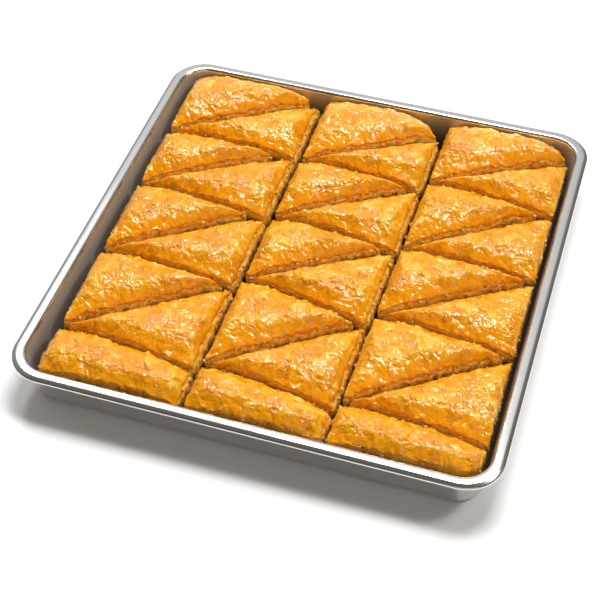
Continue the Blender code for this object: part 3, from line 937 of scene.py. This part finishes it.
def crust_material():
    material, tree, shader = new_material("syrupy_crust", CRUST_COLOUR, 0.08, 0.0,
                                          SYRUP_COAT, SYRUP_COAT_ROUGHNESS)
    shader.inputs["Specular Tint"].default_value = SYRUP_TINT
    shader.inputs["Specular IOR Level"].default_value = SYRUP_SPECULAR
    shader.inputs["Coat IOR"].default_value = SYRUP_COAT_IOR
    blotches = noise_node(tree, BLOTCH_LENGTH, 4.0)
    speckles = noise_node(tree, SPECKLE_LENGTH, 3.0)
    tone = attribute_node(tree, "tone")
    side = attribute_node(tree, "side")
    depth = attribute_node(tree, "depth")
    crest = attribute_node(tree, "crest")
    varied = math_node(tree, "ADD", tone, spread(tree, blotches, *NOISE_RANGE, *BLOTCH_TONES))
    speckled = spread(tree, speckles, *SPECKLE_RANGE, 0.0, SPECKLE_TONE)
    varied = math_node(tree, "ADD", varied, speckled, clamp=True)
    crust = colour_ramp(tree, varied, CRUST_STOPS)
    amber_share = spread(tree, varied, *AMBER_TONES, *AMBER_SHARES)
    # Front slopes turn amber: partly syrup, partly painted shade.
    syrup_and_front_shade = math_node(tree, "MULTIPLY", attribute_node(tree, "near"), amber_share)
    crust = mix_colours(tree, syrup_and_front_shade, crust, AMBER)
    leaves = colour_ramp(tree, varied, LEAF_STOPS)
    colour = mix_colours(tree, side, crust, leaves)
    # Painted shade deep in the cuts.
    deep_shade = spread(tree, depth, *DEEP_SHADE_RANGE, 0.0, 1.0)
    colour = mix_colours(tree, deep_shade, colour, DEEP_SHADE_COLOUR)
    tree.links.new(colour, shader.inputs["Base Color"])
    dull_spots = spread(tree, blotches, *DULL_RANGE, 0.0, DULL_ROUGHNESS)
    dull = math_node(tree, "MULTIPLY", dull_spots, spread(tree, crest, 0.0, 0.8, 1.0, 0.2))
    glossy = math_node(tree, "ADD", dull, CRUST_ROUGHNESS)
    roughness = math_node(tree, "ADD", glossy, spread(tree, side, 0.0, 1.0, 0.0, SIDE_ROUGHNESS))
    tree.links.new(roughness, shader.inputs["Roughness"])
    blisters = crinkle_node(tree, *BLISTERS)
    creases = math_node(tree, "MULTIPLY", blisters, spread(tree, crest, 0.0, 1.0, BLISTER_ON_SLOPES, 1.0))
    small = crinkle_node(tree, *SMALL_BLISTERS)
    grain = math_node(tree, "ADD", creases, math_node(tree, "MULTIPLY", small, SMALL_BLISTER_WEIGHT))
    normal = bump_node(tree, grain, BLISTER_HEIGHT, 1.0)
    tree.links.new(normal, shader.inputs["Normal"])
    tree.links.new(normal, shader.inputs["Coat Normal"])
    return material


# Colours of the tray: two of its bare metal, and inside it oily, darker towards the floor as painted shade.
CLEAN_METAL = (0.74, 0.735, 0.73)
SMEARED_METAL = (0.70, 0.695, 0.69)
OILY_METAL = (0.62, 0.57, 0.50)
FOOT_SHADE_METAL = (0.16, 0.12, 0.085)
SMEAR_LENGTH = 0.030
BRUSH_LENGTH = 0.0007
BRUSH_STRETCH = (1.0, 1.0, 0.15)
METAL_ROUGHNESS = (0.15, 0.19)
BRUSH_ROUGHNESS = 0.04
INSIDE_ROUGHNESS = 0.28
INSIDE_METALLIC = 0.40
BRUSH_BUMP = (0.0001, 0.12)


def metal_material():
    material, tree, shader = new_material("satin_metal", CLEAN_METAL, 0.24, 1.0)
    smears = noise_node(tree, SMEAR_LENGTH, 3.0)
    grain = noise_node(tree, BRUSH_LENGTH, 2.0, stretch=BRUSH_STRETCH)
    clean = mix_colours(tree, spread(tree, smears, 0.35, 0.7, 0.0, 1.0), CLEAN_METAL, SMEARED_METAL)
    inside = attribute_node(tree, "inside")
    # Oily inside, darkened towards the floor as painted shade.
    oily_and_shaded = mix_colours(tree, attribute_node(tree, "low"), OILY_METAL, FOOT_SHADE_METAL)
    colour = mix_colours(tree, inside, clean, oily_and_shaded)
    tree.links.new(colour, shader.inputs["Base Color"])
    brushed = spread(tree, grain, *NOISE_RANGE, 0.0, BRUSH_ROUGHNESS)
    roughness = math_node(tree, "ADD", spread(tree, smears, *NOISE_RANGE, *METAL_ROUGHNESS), brushed)
    roughness = math_node(tree, "ADD", roughness, math_node(tree, "MULTIPLY", inside, INSIDE_ROUGHNESS))
    tree.links.new(spread(tree, inside, 0.0, 1.0, 1.0, INSIDE_METALLIC), shader.inputs["Metallic"])
    tree.links.new(roughness, shader.inputs["Roughness"])
    tree.links.new(bump_node(tree, grain, *BRUSH_BUMP), shader.inputs["Normal"])
    return material


NUT_ROUGHNESS = 0.7
NUT_MOTTLE_LENGTH = 0.0009
NUT_MOTTLE = 0.2
NUT_BUMP = (0.0003, 0.5)


def nut_material(name, dark, light):
    material, tree, shader = new_material(name, light, NUT_ROUGHNESS, 0.0, 0.0, 0.25)
    shades = attribute_node(tree, "tone")
    mottle = noise_node(tree, NUT_MOTTLE_LENGTH, 3.0)
    mottled = spread(tree, mottle, *NOISE_RANGE, -NUT_MOTTLE, NUT_MOTTLE)
    varied = math_node(tree, "ADD", shades, mottled, clamp=True)
    tree.links.new(colour_ramp(tree, varied, ((0.0, dark), (1.0, light))), shader.inputs["Base Color"])
    tree.links.new(bump_node(tree, mottle, *NUT_BUMP), shader.inputs["Normal"])
    return material


# Nut pieces in the cut sides, by kind: how many for each metre of cut, radii before they are
# broken, depths below the crust's edge, how finely they are divided and their colours.
NutKind = namedtuple("NutKind", "name per_metre radius depth subdivisions dark light")
NUT_KINDS = (
    NutKind("pale_nuts", 170, (0.0004, 0.0016), (0.0026, 0.0080), 2,
            (0.56, 0.32, 0.06), (0.78, 0.52, 0.17)),
    NutKind("brown_nuts", 90, (0.0006, 0.0012), (0.0016, 0.0100), 2,
            (0.26, 0.10, 0.010), (0.62, 0.34, 0.05)),
    NutKind("nut_crumbs", 620, (0.0003, 0.0008), (0.0022, 0.0110), 1,
            (0.40, 0.18, 0.015), (0.70, 0.43, 0.11)),
)
CHUNK_CUTS = 4
CHUNK_CUT_LEVELS = (0.45, 0.8)
CHUNK_ROUGHNESS = (0.78, 1.12)
CHUNK_STRETCH = (0.75, 1.25)
NUT_SINK = 0.0005
NUT_SCATTER = 0.0003
NUT_FLARE = 0.6
DEPTH_SHADE = 0.5


def chunk_shape(subdivisions):
    maker = bmesh.new()
    bmesh.ops.create_icosphere(maker, subdivisions=subdivisions, radius=1.0)
    points = np.array([vertex.co for vertex in maker.verts])
    faces = [tuple(vertex.index for vertex in face.verts) for face in maker.faces]
    maker.free()
    return points, faces


def random_rotation():
    axis = random.normal(size=3)
    return np.array(Matrix.Rotation(random.uniform(0, 2 * math.pi), 3, Vector(axis).normalized()))


def build_nuts(kind, cuts, material):
    """Broken nuts along the cut sides, as one piece."""
    unit_points, unit_faces = chunk_shape(kind.subdivisions)
    vertices, faces, tones = [], [], []
    for edge, outward, flare, heights, length in cuts:
        for _ in range(int(length * kind.per_metre)):
            place = random.integers(len(edge))
            down = random.uniform(*kind.depth)
            radius = random.uniform(*kind.radius)
            scatter = random.uniform(-NUT_SCATTER, NUT_SCATTER)
            centre = edge[place] + outward[place] * (flare[place] * NUT_FLARE - NUT_SINK + scatter)
            shape = unit_points * random.uniform(*CHUNK_ROUGHNESS, (len(unit_points), 1))
            for _ in range(CHUNK_CUTS):
                direction = random.normal(size=3)
                direction /= np.linalg.norm(direction)
                over = np.maximum(shape @ direction - random.uniform(*CHUNK_CUT_LEVELS), 0)
                shape = shape - over[:, None] * direction
            shape = (shape * random.uniform(*CHUNK_STRETCH, 3)) @ random_rotation().T * radius
            start = len(vertices) * len(unit_points)
            vertices.append(shape + (centre[0], centre[1], heights[place] - down))
            faces += [tuple(start + index for index in face) for face in unit_faces]
            tones.append(np.full(len(unit_points), random.random() - DEPTH_SHADE * down / kind.depth[1]))
    item = mesh_object(kind.name, np.vstack(vertices), faces, material)
    set_attribute(item.data, "tone", np.concatenate(tones))


def cut_data(corners, insets):
    """Edge points of a piece with outward directions, crust heights and the edge's length."""
    edge = crust_edge(corners, insets)
    outward = -inward_direction(edge, corners, insets)
    flare = edge_flare(edge, corners, insets)
    return edge, outward, flare, crust_height(edge, corners, insets), len(edge) * SIDE_STEP


FILM_LEVEL = SHEET + GAP / 2
FILM_INSET = 0.0150
FILM_STEPS = 10
FILM_DARK = (0.030, 0.010, 0.003)
FILM_LIGHT = (0.090, 0.032, 0.008)
FILM_POOL_LENGTH = 0.012
FILM_BUMP = (0.0006, 0.4)


def build_syrup_film(material):
    """Syrup that has run over the floor of the tray, made near black to paint the shade in the cuts."""
    outline = rounded_rectangle(TRAY_HALF_WIDTH - FILM_INSET, TRAY_HALF_DEPTH - FILM_INSET,
                                RIM_CORNER - CORNER_SHRINK * FILM_INSET, FILM_STEPS)
    vertices = [(x, y, FILM_LEVEL) for x, y in outline]
    mesh_object("syrup_film", vertices, [tuple(range(len(vertices)))], material)


def syrup_material():
    # Near black: real syrup, darkened as painted shade of the cuts.
    material, tree, shader = new_material("syrup_painted_dark", (0.050, 0.016, 0.004), 0.50, 0.0, 0.1, 0.30)
    pools = noise_node(tree, FILM_POOL_LENGTH, 3.0)
    colour = mix_colours(tree, spread(tree, pools, 0.35, 0.65, 0.0, 1.0), FILM_DARK, FILM_LIGHT)
    tree.links.new(colour, shader.inputs["Base Color"])
    tree.links.new(bump_node(tree, pools, *FILM_BUMP), shader.inputs["Normal"])
    return material


FLOOR_REACH = 4.0
FLOOR_COLOUR = (0.90, 0.90, 0.90)
FLOOR_ROUGHNESS = 0.9


def build_floor():
    mesh = bpy.data.meshes.new("studio_floor")
    quarters = ((-1, -1), (1, -1), (1, 1), (-1, 1))
    mesh.from_pydata([(FLOOR_REACH * x, FLOOR_REACH * y, -GAP) for x, y in quarters], [], [(0, 1, 2, 3)])
    mesh.materials.append(new_material("paper_white", FLOOR_COLOUR, FLOOR_ROUGHNESS)[0])
    floor = bpy.data.objects.new("studio_floor", mesh)
    bpy.context.scene.collection.objects.link(floor)


def add_softbox(name, place, width, depth, power):
    light = bpy.data.lights.new(name, "AREA")
    light.shape = "RECTANGLE"
    light.size = width
    light.size_y = depth
    light.energy = power
    item = bpy.data.objects.new(name, light)
    item.location = place
    item.rotation_euler = (-Vector(place)).to_track_quat("-Z", "Y").to_euler()
    bpy.context.scene.collection.objects.link(item)


CAMERA_FILM_WIDTH = 36.0
CAMERA_CLIP = (0.01, 20.0)


def build_camera():
    azimuth = math.radians(CAMERA_AZIMUTH)
    elevation = math.radians(CAMERA_ELEVATION)
    back = Vector((math.sin(azimuth) * math.cos(elevation),
                   -math.cos(azimuth) * math.cos(elevation), math.sin(elevation)))
    right = Vector((0, 0, 1)).cross(back).normalized()
    up = back.cross(right)
    axes = Matrix((right, up, back)).transposed()
    turned = axes @ Matrix.Rotation(math.radians(CAMERA_ROLL), 3, "Z")
    data = bpy.data.cameras.new("camera")
    data.lens = CAMERA_LENS
    data.sensor_width = CAMERA_FILM_WIDTH
    data.clip_start, data.clip_end = CAMERA_CLIP
    item = bpy.data.objects.new("camera", data)
    item.matrix_world = Matrix.Translation(CAMERA_PLACE) @ turned.to_4x4()
    bpy.context.scene.collection.objects.link(item)
    bpy.context.scene.camera = item


SKY_STOPS = (
    (0.00, (0.05, 0.035, 0.02)),
    (0.46, (0.08, 0.060, 0.035)),
    (0.75, (0.15, 0.13, 0.10)),
    (0.88, (0.32, 0.31, 0.30)),
    (0.94, (0.50, 0.50, 0.50)),
    (0.98, (0.68, 0.68, 0.68)),
)
SKY_TILT = (-0.32, 0.67, 0.67)

# Softboxes that look at the tray: name, place, width, depth and power.
SOFTBOXES = (
    ("main_softbox", (0.10, 0.64, 2.12), 0.94, 0.58, 40.0),
    ("left_softbox", (-0.85, 0.95, 1.80), 0.40, 0.28, 12.0),
    ("right_softbox", (1.35, 0.30, 1.75), 0.40, 0.30, 15.0),
    ("front_softbox", (0.90, -1.90, 1.30), 2.0, 1.0, 5.0),
)


def build_world():
    """A studio that is bright behind the tray and dim in front of it."""
    world = bpy.data.worlds.new("studio")
    world.use_nodes = True
    tree = world.node_tree
    place = add_node(tree, "ShaderNodeTexCoord")
    facing = add_node(tree, "ShaderNodeVectorMath", operation="DOT_PRODUCT")
    tree.links.new(place.outputs["Generated"], facing.inputs[0])
    facing.inputs[1].default_value = SKY_TILT
    colour = colour_ramp(tree, spread(tree, facing.outputs["Value"], -1.0, 1.0, 0.0, 1.0), SKY_STOPS)
    tree.links.new(colour, tree.nodes["Background"].inputs["Color"])
    bpy.context.scene.world = world


def build_light():
    build_world()
    for softbox in SOFTBOXES:
        add_softbox(*softbox)


def main():
    scene = bpy.context.scene
    scene.view_settings.view_transform = "Standard"
    scene.view_settings.look = "None"
    build_tray(metal_material())
    crust = crust_material()
    number = 0
    cuts = []
    for strip in STRIPS:
        for name, corners, insets in strip_pieces(strip):
            build_crust(name, corners, insets, number, crust)
            cuts.append(cut_data(corners, insets))
            number += 1
    for kind in NUT_KINDS:
        build_nuts(kind, cuts, nut_material(kind.name, kind.dark, kind.light))
    build_syrup_film(syrup_material())
    build_floor()
    build_light()
    build_camera()


main()
